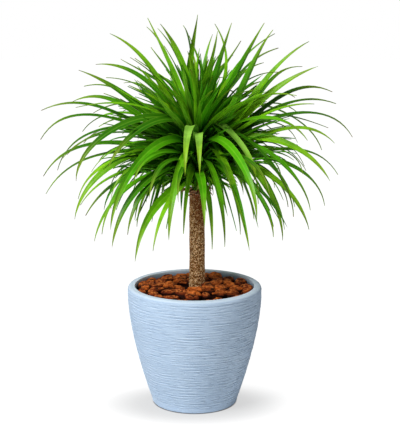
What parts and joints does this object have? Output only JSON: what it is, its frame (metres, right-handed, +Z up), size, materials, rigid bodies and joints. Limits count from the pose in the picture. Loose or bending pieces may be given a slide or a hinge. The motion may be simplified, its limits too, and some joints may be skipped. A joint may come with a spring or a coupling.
{
  "type": "potted dragon tree",
  "caption": "Potted dragon tree: a pale blue clay pot with bark mulch, one bare upright trunk and a dense domed head of arching green strap leaves.",
  "frame": {"origin": "middle of the pot's flat base, where it stands on the floor", "axes": "+Z up along the pot's axis, -Y towards the side that the picture shows, +X to the picture's right"},
  "size_m": [0.6895, 0.6187, 0.88],
  "materials": {
    "pale_blue_clay": "matte",
    "dark_soil": "matte",
    "red_bark": "matte",
    "grey_brown_bark": "matte",
    "green_leaf": "satin"
  },
  "bodies": {
    "root": {"pot": "pale_blue_clay", "soil": "dark_soil", "bark_mulch": "red_bark", "trunk": "grey_brown_bark", "leaf_crown": "green_leaf"}
  },
  "joints": []
}
